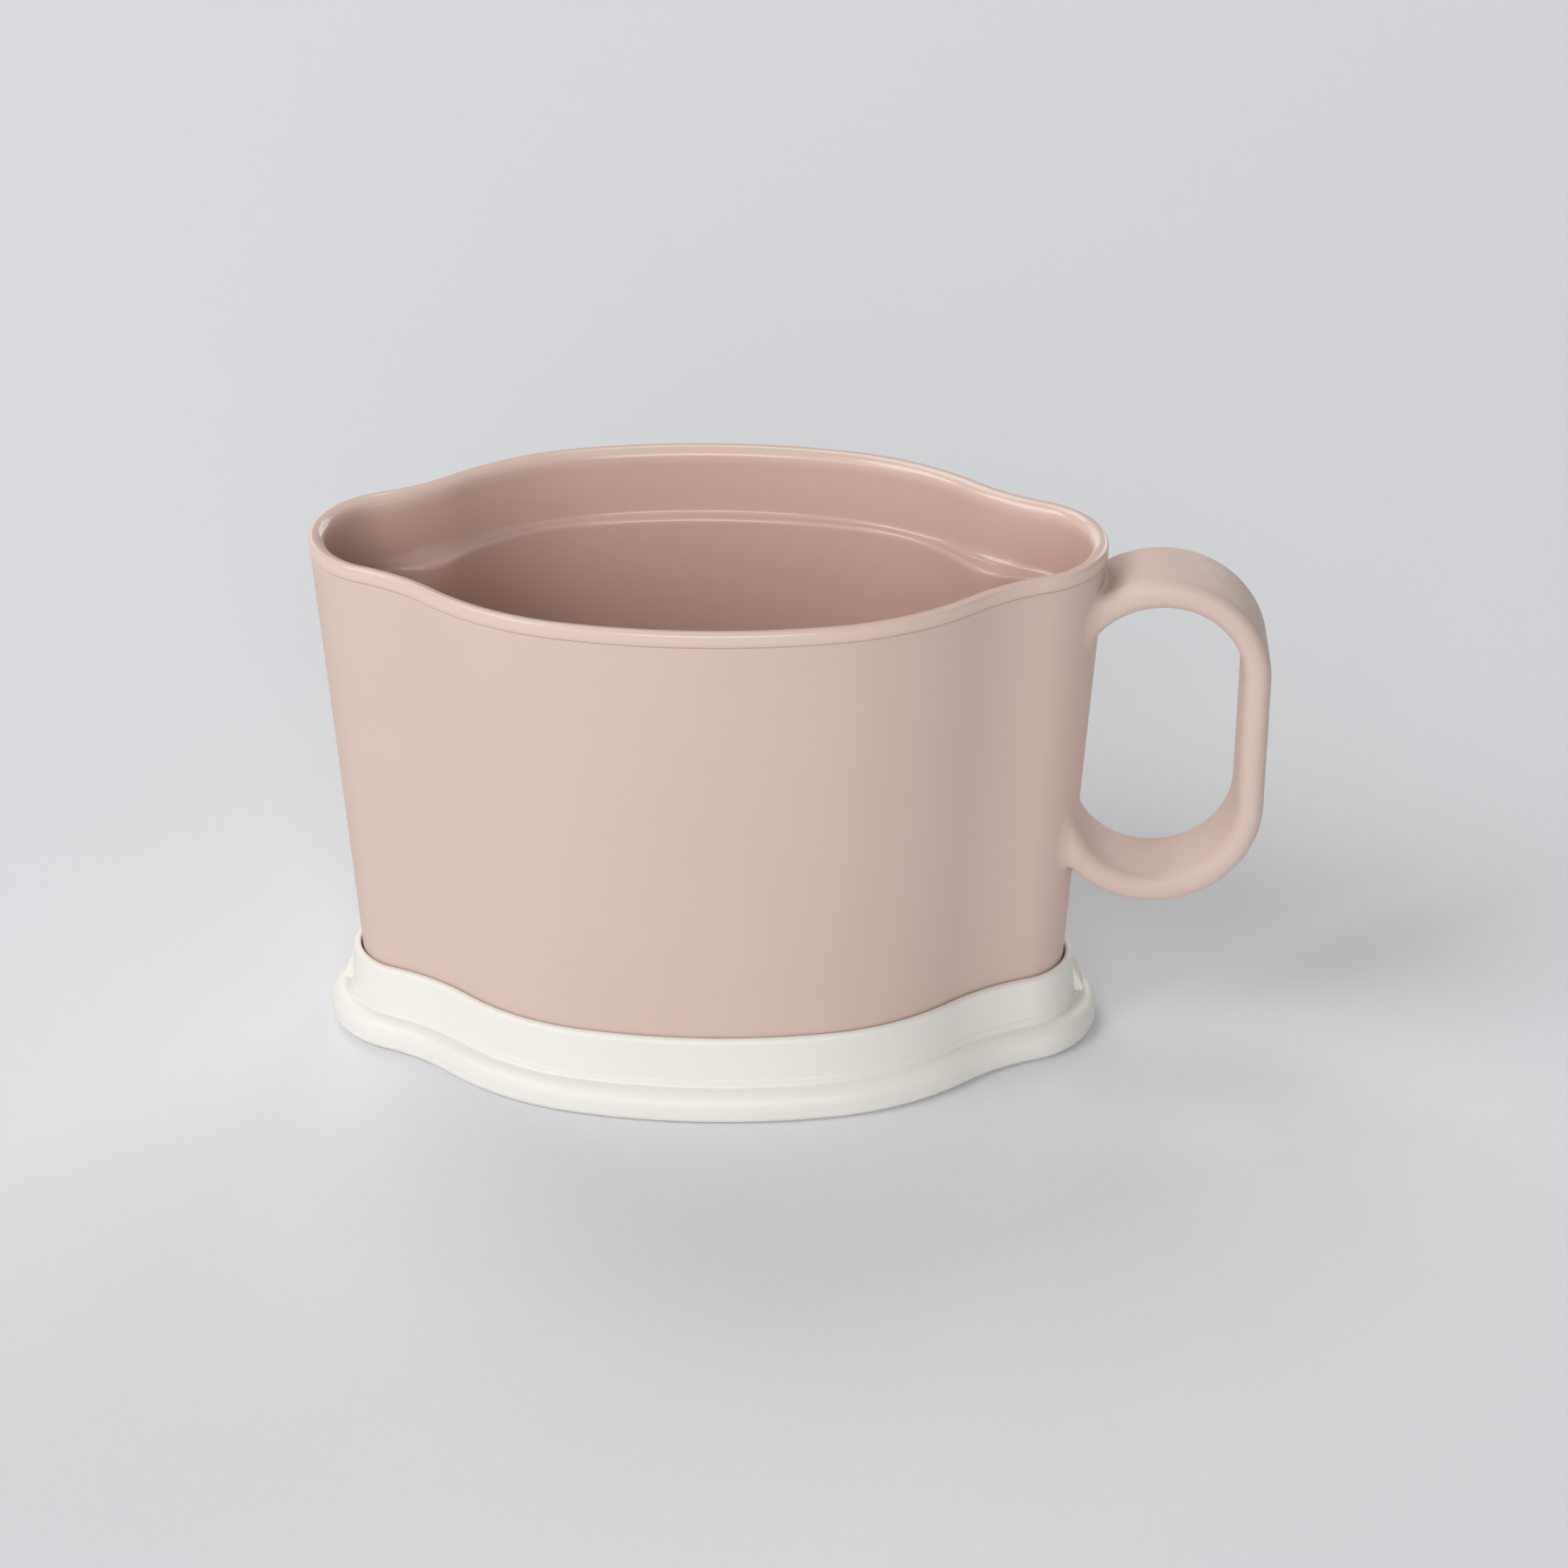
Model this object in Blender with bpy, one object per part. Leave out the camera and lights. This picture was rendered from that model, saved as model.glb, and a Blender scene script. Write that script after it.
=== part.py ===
"""Double-wall plastic soup mug standing in its own upturned lid.

The mug is lemon shaped in plan: two long sides turn over shoulders, and through hollow waists, into
two small round ends. A matte outer shell carries a racetrack handle at one end. A glossy inner cup hangs
in the shell by its rolled lip, with air between the two walls, and has a ledge inside. The lid lies
upside down on the table, and its plug skirt holds the base of the mug.
"""
import math
from collections import namedtuple

import bmesh
import bpy
from mathutils import Vector

# Lengths below are in millimetres. Heights are above the table.
MM = 0.001

# A lemon plan: half length, half depth, the radius and half angle of its side arc, and the radii of its
# shoulder, end and waist arcs. The pocket's plans are rounder, with side and shoulder as one arc.
Plan = namedtuple("Plan", "half_length half_depth side_r side_turn shoulder_r end_r waist_r")
SIDE_TURN = 0.21
RIM = Plan(64.85, 34.75, 106.0, SIDE_TURN, 46.6, 15.3, 36.9)
POCKET_TOP = Plan(59.3, 29.8, 63.0, SIDE_TURN, 63.0, 9.0, 9.3)
POCKET_FOOT = Plan(53.0, 24.0, 62.0, SIDE_TURN, 62.0, 7.0, 16.0)
POCKET_FLOOR = Plan(48.2, 19.5, 62.0, SIDE_TURN, 62.0, 6.0, 20.0)
END_STEPS = 8
WAIST_STEPS = 4
SHOULDER_STEPS = 4
SIDE_STEPS = 3

# Gap kept between pieces that touch.
GAP = 0.3

# Mug heights and walls.
MUG_TOP = 91.6
LIP_HEIGHT = 2.5
LIP_WIDTH = 2.8
LIP_OUTER_R = 0.95
LIP_INNER_R = 1.5
SHELL_WALL = 1.9
SHELL_COLLAR_WALL = 1.25
SHELL_TOP_INSET = 0.2
WALL_DRAFT = 0.0673
COLLAR_DRAFT = 0.055
COLLAR_DEPTH = 11.4
LEDGE_FALL = 1.2
LEDGE_FILLET = 1.4
LEDGE_EDGE_R = 1.2
CUP_WALL = 1.8
REBATE_DEPTH = 15.0
REBATE_SLOPE = 1.0
BASE_CORNER_R = 2.5
FOOT_RING_WIDTH = 3.2
FOOT_RECESS = 0.8
SHELL_FLOOR = 2.2
SHELL_FLOOR_FILLET = 3.0
FLOOR_AIR_GAP = 1.5
CUP_FLOOR_FILLET_R = 5.0

# Lid, measured with the lid upside down as it lies.
LID_PANEL_UNDER = 3.2
LID_PANEL_TOP = 5.1
SKIRT_TOP = 13.7
SKIRT_INNER = -4.97
SKIRT_OUTER = -3.2
SKIRT_TIP = -3.8
SKIRT_TOP_R = 0.3
SKIRT_FOOT_R = 0.8
BEAD_TOP = 6.3
BEAD_PROUD = 0.25
BORDER_TOP = 5.3
BORDER_VALLEY = 5.2
BORDER_PROUD = 0.45
BORDER_CROWN_R = 2.4
BORDER_FOOT_R = 1.4
BORDER_FLAT_INNER = -2.9
TRAY_WALL = -3.5
TRAY_EDGE = 0.3
TRAY_FILLET = 0.6
LUG_WIDTH = 4.0
LUG_FOOT = 6.4
LUG_TOP = 10.2
LUG_LEAD_IN = 2.9
LUG_PROUD = 1.35
LUG_ROOT = 1.0

# Handle: a racetrack ring whose inner side is buried in the end of the shell. Its bar is thinner than its
# arms, which grow outwards through the bends.
HANDLE_OPENING_X = 87.5
HANDLE_OPENING_TOP = 82.4
HANDLE_OPENING_FOOT = 32.25
HANDLE_OPENING_R = 13.45
BAND_THICKNESS = 4.35
ARM_GROWTH = 0.17
BAND_HALF_WIDTH = 7.4
BAND_EDGE_R = 2.0
BAND_EDGE_STEPS = 4
BAND_FACE_STEPS = 4
BEND_STEPS = 14

# Roots of the handle: the angle past which an arm runs straight into the wall, the fillet between arm and
# wall, wider at the arm's two sides, how deep its foot dips and ends, and the heights of the wall that each
# root lies between.
ROOT_LAST_ANGLE = math.radians(157)
ROOT_FILLET = 1.3
ROOT_SIDE_FILLET = 2.6
ROOT_PULL = 0.6
ROOT_STEPS = 4
ROOT_DIP = 0.12
ROOT_SINK = 1.0
HIT_ROUNDS = 24
UPPER_ROOT_SPAN = (72.0, 87.8)
LOWER_ROOT_SPAN = (27.5, 45.0)

# Worked-out heights.
PARTING = MUG_TOP - LIP_HEIGHT
MUG_FOOT = LID_PANEL_TOP + GAP
SHELL_FLOOR_TOP = MUG_FOOT + FOOT_RECESS + SHELL_FLOOR
CUP_FLOOR_UNDER = SHELL_FLOOR_TOP + FLOOR_AIR_GAP
CUP_FLOOR_TOP = CUP_FLOOR_UNDER + CUP_WALL
LEDGE = MUG_TOP - COLLAR_DEPTH

# Worked-out places of the handle: centres of the end arc and of the bends.
END_X = RIM.half_length - RIM.end_r
BEND_X = HANDLE_OPENING_X - HANDLE_OPENING_R
UPPER_BEND_Z = HANDLE_OPENING_TOP - HANDLE_OPENING_R
LOWER_BEND_Z = HANDLE_OPENING_FOOT + HANDLE_OPENING_R

# The frame's origin is the middle of the whole object's footprint, so the mug's own axis is off it.
LEFT_REACH = RIM.half_length + BORDER_PROUD
RIGHT_REACH = HANDLE_OPENING_X + BAND_THICKNESS
MUG_AXIS_X = (LEFT_REACH - RIGHT_REACH) / 2

# Finish of each piece: colour, roughness.
SHELL_COLOUR = (0.66, 0.47, 0.40)
CUP_COLOUR = (0.62, 0.42, 0.36)
LID_COLOUR = (0.86, 0.83, 0.77)
MATTE = 0.55
GLOSSY = 0.15
SATIN = 0.4

SMOOTH_ANGLE = math.radians(35)


def offset(plan, distance):
    """The plan moved outwards by a distance: all arc centres stay, so walls keep their thickness."""
    return Plan(
        plan.half_length + distance,
        plan.half_depth + distance,
        plan.side_r + distance,
        plan.side_turn,
        plan.shoulder_r + distance,
        plan.end_r + distance,
        plan.waist_r - distance,
    )


def shoulder_centre(plan):
    """Centre of the shoulder arc, which carries on from the side arc at the side's half angle."""
    reach = plan.side_r - plan.shoulder_r
    side_y = plan.half_depth - plan.side_r
    return (reach * math.sin(plan.side_turn), side_y + reach * math.cos(plan.side_turn))


def waist_centre(plan):
    """Centre of the waist arc, which touches the end arc and the shoulder arc from outside."""
    end_x = plan.half_length - plan.end_r
    shoulder_x, shoulder_y = shoulder_centre(plan)
    to_end = plan.end_r + plan.waist_r
    to_shoulder = plan.shoulder_r + plan.waist_r
    span = math.hypot(end_x - shoulder_x, shoulder_y)
    along = (to_shoulder**2 - to_end**2 + span**2) / (2 * span)
    across = math.sqrt(to_shoulder**2 - along**2)
    way_x = (end_x - shoulder_x) / span
    way_y = -shoulder_y / span
    return (shoulder_x + along * way_x - across * way_y, shoulder_y + along * way_y + across * way_x)


def arc(centre_x, centre_y, radius, start, stop, steps):
    """Points along an arc, without its last one."""
    points = []
    for step in range(steps):
        angle = start + (stop - start) * step / steps
        points.append((centre_x + radius * math.cos(angle), centre_y + radius * math.sin(angle)))
    return points


def lemon(plan):
    """Closed outline, counter-clockwise from the +X tip: one quarter of arcs, mirrored twice."""
    end_x = plan.half_length - plan.end_r
    shoulder_x, shoulder_y = shoulder_centre(plan)
    waist_x, waist_y = waist_centre(plan)
    end_angle = math.atan2(waist_y, waist_x - end_x)
    shoulder_angle = math.atan2(waist_y - shoulder_y, waist_x - shoulder_x)
    side_angle = math.pi / 2 - plan.side_turn
    quarter = arc(end_x, 0.0, plan.end_r, 0.0, end_angle, END_STEPS)
    quarter += arc(waist_x, waist_y, -plan.waist_r, end_angle, shoulder_angle, WAIST_STEPS)
    quarter += arc(shoulder_x, shoulder_y, plan.shoulder_r, shoulder_angle, side_angle, SHOULDER_STEPS)
    quarter += arc(0.0, plan.half_depth - plan.side_r, plan.side_r, side_angle, math.pi / 2, SIDE_STEPS)
    half = quarter + [(0.0, plan.half_depth)] + [(-x, y) for x, y in reversed(quarter)]
    return half + [(x, -y) for x, y in reversed(half[1:-1])]


def blend(first, second, share):
    """The plan part of the way from one plan to another."""
    return Plan(*(a + (b - a) * share for a, b in zip(first, second)))


def corner(offset_from, z_from, offset_to, z_to, bulge, steps):
    """Profile points along a quarter ellipse between two points.

    bulge is "out" where the curve leaves the first point along its height, and "flat" where it
    leaves along its offset.
    """
    points = []
    for step in range(steps + 1):
        angle = math.pi / 2 * step / steps
        slow = 1 - math.cos(angle)
        quick = math.sin(angle)
        across, along = (slow, quick) if bulge == "out" else (quick, slow)
        points.append((offset_from + (offset_to - offset_from) * across, z_from + (z_to - z_from) * along))
    return points


def rows_on(plan, profile):
    """Rows of a loft from profile points, each an offset from the plan and a height."""
    return [(offset(plan, distance), z) for distance, z in profile]


def add_object(name, bm, parent, smooth=True):
    """Turn a bmesh into a named object under a parent empty."""
    bmesh.ops.recalc_face_normals(bm, faces=bm.faces)
    mesh = bpy.data.meshes.new(name)
    bm.to_mesh(mesh)
    bm.free()
    if smooth:
        mesh.shade_smooth()
        mesh.set_sharp_from_angle(angle=SMOOTH_ANGLE)
    item = bpy.data.objects.new(name, mesh)
    item.parent = parent
    bpy.context.scene.collection.objects.link(item)
    return item


def skin(bm, loops):
    """Join loops of equal length with quads, and close the first and last with flat caps."""
    for first, second in zip(loops, loops[1:]):
        for index in range(len(first)):
            following = (index + 1) % len(first)
            bm.faces.new((first[index], first[following], second[following], second[index]))
    bm.faces.new(loops[0])
    bm.faces.new(loops[-1])


def loft(name, rows, parent):
    """Skin a list of (plan, height) rows."""
    bm = bmesh.new()
    loops = []
    for plan, z in rows:
        loops.append([bm.verts.new((x * MM, y * MM, z * MM)) for x, y in lemon(plan)])
    skin(bm, loops)
    return add_object(name, bm, parent)


def wall_offset(z):
    """Offset of the shell's outside from the rim plan at a height."""
    return -SHELL_TOP_INSET - WALL_DRAFT * (PARTING - z)


def finish(item, colour, roughness):
    """Give an object its own Principled material."""
    material = bpy.data.materials.new(item.name)
    material.use_nodes = True
    shader = material.node_tree.nodes["Principled BSDF"]
    shader.inputs["Base Color"].default_value = (*colour, 1.0)
    shader.inputs["Roughness"].default_value = roughness
    shader.inputs["Metallic"].default_value = 0.0
    item.data.materials.clear()
    item.data.materials.append(material)


def operate(item, tool, operation):
    """Join a hidden tool to an object, or cut it out."""
    modifier = item.modifiers.new(f"{operation.lower()}_{tool.name}", "BOOLEAN")
    modifier.operation = operation
    modifier.solver = "EXACT"
    modifier.object = tool
    tool.hide_render = True
    tool.display_type = "WIRE"


def shell_block(parent):
    """The outside of the shell as a solid: foot ring, rounded base corner, drafted wall, top edge."""
    foot_edge = wall_offset(MUG_FOOT) - BASE_CORNER_R
    corner_top = MUG_FOOT + BASE_CORNER_R
    ring_inner = foot_edge - FOOT_RING_WIDTH
    top = PARTING - GAP / 2
    profile = [(ring_inner - FOOT_RECESS / 2, MUG_FOOT + FOOT_RECESS), (ring_inner, MUG_FOOT)]
    profile += corner(foot_edge, MUG_FOOT, wall_offset(corner_top), corner_top, "flat", 4)
    profile += [(wall_offset(z), z) for z in LOWER_ROOT_SPAN + UPPER_ROOT_SPAN]
    profile += corner(wall_offset(top - GAP), top - GAP, wall_offset(top) - GAP, top, "out", 2)
    return loft("outer_shell", rows_on(RIM, profile), parent)


def shell_cavity(parent):
    """The hollow of the shell: floor fillet, drafted wall, and a wider rebate for the cup's collar."""
    fillet_top = SHELL_FLOOR_TOP + SHELL_FLOOR_FILLET
    wall_foot = wall_offset(fillet_top) - SHELL_WALL
    rebate = PARTING - REBATE_DEPTH
    above = PARTING + LIP_HEIGHT
    profile = corner(wall_foot - SHELL_FLOOR_FILLET, SHELL_FLOOR_TOP, wall_foot, fillet_top, "flat", 3)
    profile += [
        (wall_offset(rebate - REBATE_SLOPE) - SHELL_WALL, rebate - REBATE_SLOPE),
        (wall_offset(rebate) - SHELL_COLLAR_WALL, rebate),
        (wall_offset(above) - SHELL_COLLAR_WALL, above),
    ]
    return loft("shell_cavity", rows_on(RIM, profile), parent)


def band_section():
    """Section of the handle with rounded edges: (depth, width) points, each with its outward heading."""
    face = BAND_THICKNESS / 2
    half = face - BAND_EDGE_R
    wide = BAND_HALF_WIDTH - BAND_EDGE_R
    points = []
    for turn, (side, out) in enumerate(((1, 1), (-1, 1), (-1, -1), (1, -1))):
        for step in range(BAND_EDGE_STEPS + 1):
            angle = (turn + step / BAND_EDGE_STEPS) * math.pi / 2
            heading = (math.cos(angle), math.sin(angle))
            depth = side * half + BAND_EDGE_R * heading[0]
            points.append((depth, out * wide + BAND_EDGE_R * heading[1], *heading))
        if side != out:
            shares = [step / BAND_FACE_STEPS for step in range(1, BAND_FACE_STEPS)]
            points += [(side * face, out * wide * (1 - 2 * share), side, 0.0) for share in shares]
    return points


def ring_point(depth, width, angle, bend_z, side):
    """A point of the ring on its upper bend, where side is 1, or on its lower bend, where side is -1."""
    turn = min(angle, ROOT_LAST_ANGLE)
    growth = 1 + ARM_GROWTH * math.sin(min(turn, math.pi / 2)) ** 2
    reach = HANDLE_OPENING_R + (depth + BAND_THICKNESS / 2) * growth
    ahead = reach * (angle - turn)
    along = reach * math.cos(turn) - ahead * math.sin(turn)
    rise = reach * math.sin(turn) + ahead * math.cos(turn)
    return Vector((BEND_X + along, width, bend_z + side * rise))


def wall_point(swing, z, lift):
    """A point on the rounded end of the shell, at an angle round from its tip and lifted off the wall."""
    reach = RIM.end_r + wall_offset(z) + lift
    return Vector((END_X + reach * math.cos(swing), reach * math.sin(swing), z))


def hit_angle(depth, width, bend_z, side):
    """Angle round a bend at which one line of the ring runs into the wall, found by halving."""
    clear = math.pi / 2
    inside = math.pi
    for _ in range(HIT_ROUNDS):
        middle = (clear + inside) / 2
        point = ring_point(depth, width, middle, bend_z, side)
        if math.hypot(point.x - END_X, width) > RIM.end_r + wall_offset(point.z):
            clear = middle
        else:
            inside = middle
    return clear


def bezier(first, second, third, fourth, share):
    """A point on a cubic curve."""
    rest = 1 - share
    return (rest**3 * first + 3 * rest**2 * share * second
            + 3 * rest * share**2 * third + share**3 * fourth)


def bend_line(depth, width, out_depth, out_width, bend_z, side):
    """One line of a bend along the band: out of the wall, over the fillet, and round to the bar."""
    stop = hit_angle(depth, width, bend_z, side)
    meet = ring_point(depth, width, stop, bend_z, side)
    wall_r = RIM.end_r + wall_offset(meet.z)
    fillet = ROOT_FILLET + (ROOT_SIDE_FILLET - ROOT_FILLET) * abs(out_width)
    swing = math.asin(width / wall_r) + fillet * out_width / wall_r
    wall_end = wall_point(swing, meet.z + side * fillet * out_depth, -ROOT_DIP)
    free_angle = stop - fillet / HANDLE_OPENING_R
    free_end = ring_point(depth, width, free_angle, bend_z, side)
    wall_lead = wall_end.lerp(meet, ROOT_PULL)
    free_lead = free_end.lerp(meet, ROOT_PULL)
    line = [wall_point(swing, wall_end.z, -ROOT_SINK)]
    for step in range(ROOT_STEPS + 1):
        line.append(bezier(wall_end, wall_lead, free_lead, free_end, step / ROOT_STEPS))
    for step in range(1, BEND_STEPS + 1):
        line.append(ring_point(depth, width, free_angle * (1 - step / BEND_STEPS), bend_z, side))
    return line


def bend_rows(bend_z, side):
    """Section rows of one bend, from inside the wall to the straight bar."""
    lines = [bend_line(*point, bend_z, side) for point in band_section()]
    return [list(row) for row in zip(*lines)]


def handle_band(parent):
    """Skin the handle from its upper root, round both bends, to its lower root."""
    bm = bmesh.new()
    rows = bend_rows(UPPER_BEND_Z, 1) + bend_rows(LOWER_BEND_Z, -1)[::-1]
    loops = [[bm.verts.new(point * MM) for point in row] for row in rows]
    skin(bm, loops)
    return add_object("handle_band", bm, parent)


def outer_shell(parent):
    """The shell with its handle: outside block, handle joined on, then the hollow cut through both."""
    shell = shell_block(parent)
    operate(shell, handle_band(parent), "UNION")
    operate(shell, shell_cavity(parent), "DIFFERENCE")
    finish(shell, SHELL_COLOUR, MATTE)
    return shell


def inner_cup(parent):
    """The liner: outside from the floor up, round the rolled lip, down the collar, ledge and pocket."""
    collar_out = -SHELL_TOP_INSET - SHELL_COLLAR_WALL - GAP
    lip_under = PARTING + GAP / 2
    collar_foot = LEDGE - CUP_WALL
    pocket_out = offset(POCKET_TOP, CUP_WALL)
    foot_out = offset(POCKET_FOOT, CUP_WALL)
    floor_out = offset(POCKET_FLOOR, CUP_WALL)
    fillet_top = CUP_FLOOR_TOP + CUP_FLOOR_FILLET_R

    rows = [(floor_out, CUP_FLOOR_UNDER)]
    rows += [(blend(floor_out, foot_out, across), CUP_FLOOR_UNDER + rise * CUP_FLOOR_FILLET_R)
             for across, rise in corner(0.0, 0.0, 1.0, 1.0, "flat", 3)[1:]]
    rows += [(pocket_out, collar_foot - CUP_WALL)]
    outside = [(collar_out - WALL_DRAFT * (lip_under - collar_foot), collar_foot), (collar_out, lip_under)]
    outside += [(-GAP / 2, lip_under), (0.0, lip_under + GAP / 2)]
    outside += corner(0.0, MUG_TOP - LIP_OUTER_R, -LIP_OUTER_R, MUG_TOP, "out", 4)
    outside += corner(LIP_INNER_R - LIP_WIDTH, MUG_TOP, -LIP_WIDTH, MUG_TOP - LIP_INNER_R, "flat", 4)
    collar_in = -LIP_WIDTH - COLLAR_DRAFT * (COLLAR_DEPTH - LIP_INNER_R)
    ledge_in = collar_in - LEDGE_FILLET / 2
    ledge_top = LEDGE + LEDGE_FALL
    outside += corner(collar_in, ledge_top + LEDGE_FILLET, ledge_in, ledge_top, "out", 2)
    rows += rows_on(RIM, outside)
    rows += rows_on(POCKET_TOP, corner(LEDGE_EDGE_R / 2, LEDGE, 0.0, LEDGE - LEDGE_EDGE_R, "flat", 3))
    rows += [(blend(POCKET_FLOOR, POCKET_FOOT, across), CUP_FLOOR_TOP + rise * CUP_FLOOR_FILLET_R)
             for across, rise in reversed(corner(0.0, 0.0, 1.0, 1.0, "flat", 4))]
    cup = loft("inner_cup", rows, parent)
    finish(cup, CUP_COLOUR, GLOSSY)
    return cup


def lid_lugs(parent):
    """Two snap lugs at the tips of the skirt, each with a lead-in slope and a square catch below it."""
    face = RIM.half_length + SKIRT_OUTER
    profile = [
        (face - LUG_ROOT, LUG_FOOT),
        (face + LUG_PROUD, LUG_FOOT),
        (face + LUG_PROUD, LUG_TOP - LUG_LEAD_IN),
        (face - LUG_ROOT, LUG_TOP + LUG_LEAD_IN * LUG_ROOT / LUG_PROUD),
    ]
    bm = bmesh.new()
    for side in (-1, 1):
        ends = []
        for y in (-LUG_WIDTH / 2, LUG_WIDTH / 2):
            ends.append([bm.verts.new((side * x * MM, y * MM, z * MM)) for x, z in profile])
        skin(bm, ends)
    return add_object("lid_lugs", bm, parent, smooth=False)


def lid(parent):
    """The lid upside down: panel, plug skirt with bead, rolled border, and the tray on its top face."""
    bead = SKIRT_OUTER + BEAD_PROUD
    crown = BORDER_PROUD - BORDER_CROWN_R
    skirt_foot = LID_PANEL_TOP + SKIRT_FOOT_R
    profile = corner(SKIRT_INNER - SKIRT_FOOT_R, LID_PANEL_TOP, SKIRT_INNER, skirt_foot, "flat", 3)
    profile += corner(SKIRT_INNER, SKIRT_TOP - SKIRT_TOP_R, SKIRT_INNER + SKIRT_TOP_R, SKIRT_TOP, "out", 3)
    profile += corner(SKIRT_TIP - SKIRT_TOP_R, SKIRT_TOP, SKIRT_TIP, SKIRT_TOP - SKIRT_TOP_R, "flat", 3)
    profile += [(SKIRT_OUTER, BEAD_TOP + BEAD_PROUD), (bead, BEAD_TOP)]
    profile += [(bead, BORDER_VALLEY + BEAD_PROUD), (bead + BEAD_PROUD, BORDER_VALLEY)]
    profile += corner(crown, BORDER_TOP, BORDER_PROUD, BORDER_TOP - BORDER_CROWN_R, "flat", 4)
    profile += corner(BORDER_PROUD, BORDER_FOOT_R, BORDER_PROUD - BORDER_FOOT_R, 0.0, "out", 3)
    profile += [
        (BORDER_FLAT_INNER, 0.0),
        (TRAY_WALL, TRAY_EDGE),
        (TRAY_WALL, LID_PANEL_UNDER - TRAY_FILLET),
        (TRAY_WALL - TRAY_FILLET, LID_PANEL_UNDER),
    ]
    cover = loft("lid", rows_on(RIM, profile), parent)
    operate(cover, lid_lugs(parent), "UNION")
    finish(cover, LID_COLOUR, SATIN)
    return cover


def clear_scene():
    """Remove whatever the scene holds."""
    for item in list(bpy.data.objects):
        bpy.data.objects.remove(item, do_unlink=True)


def add_axis(name, location, parent):
    """An empty that carries pieces."""
    axis = bpy.data.objects.new(name, None)
    axis.location = location
    axis.parent = parent
    bpy.context.scene.collection.objects.link(axis)
    return axis


def main():
    clear_scene()
    stand_axis = add_axis("stand_axis", (MUG_AXIS_X * MM, 0.0, 0.0), None)
    lift_axis = add_axis("lift_axis", (0.0, 0.0, 0.0), stand_axis)
    lid(stand_axis)
    outer_shell(lift_axis)
    inner_cup(lift_axis)


main()
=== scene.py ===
"""Looks of the double-wall soup mug that stands in its upturned lid.

Each piece of the frame is replaced by a finer one in the same place: the matte shell with its handle
blended into the wall, the glossy cup with its rolled lip and ledge, and the satin lid.
"""
import math
from collections import namedtuple

import bmesh
import bpy
from mathutils import Matrix, Vector
from mathutils.geometry import intersect_point_line


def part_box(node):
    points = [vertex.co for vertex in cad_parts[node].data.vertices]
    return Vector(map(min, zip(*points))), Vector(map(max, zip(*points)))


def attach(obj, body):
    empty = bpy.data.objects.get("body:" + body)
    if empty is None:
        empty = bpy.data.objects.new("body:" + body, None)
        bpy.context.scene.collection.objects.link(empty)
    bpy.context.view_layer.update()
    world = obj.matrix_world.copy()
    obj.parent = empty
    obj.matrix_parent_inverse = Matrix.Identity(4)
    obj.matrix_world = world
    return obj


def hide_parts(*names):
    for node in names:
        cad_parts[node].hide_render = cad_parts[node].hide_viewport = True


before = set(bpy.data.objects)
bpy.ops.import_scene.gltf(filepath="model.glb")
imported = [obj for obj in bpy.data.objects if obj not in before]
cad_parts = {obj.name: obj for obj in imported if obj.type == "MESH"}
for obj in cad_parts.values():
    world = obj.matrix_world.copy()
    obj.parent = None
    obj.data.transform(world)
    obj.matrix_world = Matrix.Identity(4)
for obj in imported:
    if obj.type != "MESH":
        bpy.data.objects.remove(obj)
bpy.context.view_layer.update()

# Lengths are in millimetres, measured from the mug's own upright axis and the table.
MM = 0.001

# Driving sizes, read from the frame.
LID_LOW, LID_HIGH = (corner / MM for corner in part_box("lid"))
CUP_LOW, CUP_HIGH = (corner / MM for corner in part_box("inner_cup"))
SHELL_LOW, SHELL_HIGH = (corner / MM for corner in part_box("outer_shell"))
MUG_AXIS_X = (CUP_LOW.x + CUP_HIGH.x) / 2
MUG_TOP = CUP_HIGH.z
MUG_FOOT = SHELL_LOW.z
SKIRT_TOP = LID_HIGH.z
HALF_LENGTH = (CUP_HIGH.x - CUP_LOW.x) / 2
HALF_DEPTH = (CUP_HIGH.y - CUP_LOW.y) / 2
BORDER_PROUD = (LID_HIGH.x - LID_LOW.x) / 2 - HALF_LENGTH
HANDLE_REACH = SHELL_HIGH.x - MUG_AXIS_X

# A lemon plan: half length, half depth, the radius and half angle of its side arc, and the radii of its
# shoulder, end and waist arcs.
Plan = namedtuple("Plan", "half_length half_depth side_r side_turn shoulder_r end_r waist_r")
SIDE_TURN = 0.21
RIM = Plan(HALF_LENGTH, HALF_DEPTH, 106.0, SIDE_TURN, 46.6, 15.3, 36.9)
POCKET_TOP = Plan(59.2, 29.7, 107.0, SIDE_TURN, 32.0, 10.0, 10.0)
POCKET_FOOT = Plan(53.0, 24.0, 62.0, SIDE_TURN, 62.0, 7.0, 16.0)
POCKET_FLOOR = Plan(48.2, 19.5, 62.0, SIDE_TURN, 62.0, 6.0, 20.0)

# Steps along each arc of a plan, each rounded edge, and the plain stretches of the skirt and the pocket.
END_STEPS = 20
WAIST_STEPS = 14
SHOULDER_STEPS = 16
SIDE_STEPS = 10
ROUND_STEPS = 8
SMALL_ROUND_STEPS = 4
CROWN_STEPS = 12
SKIRT_STEPS = 6
POCKET_STEPS = 8

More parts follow.
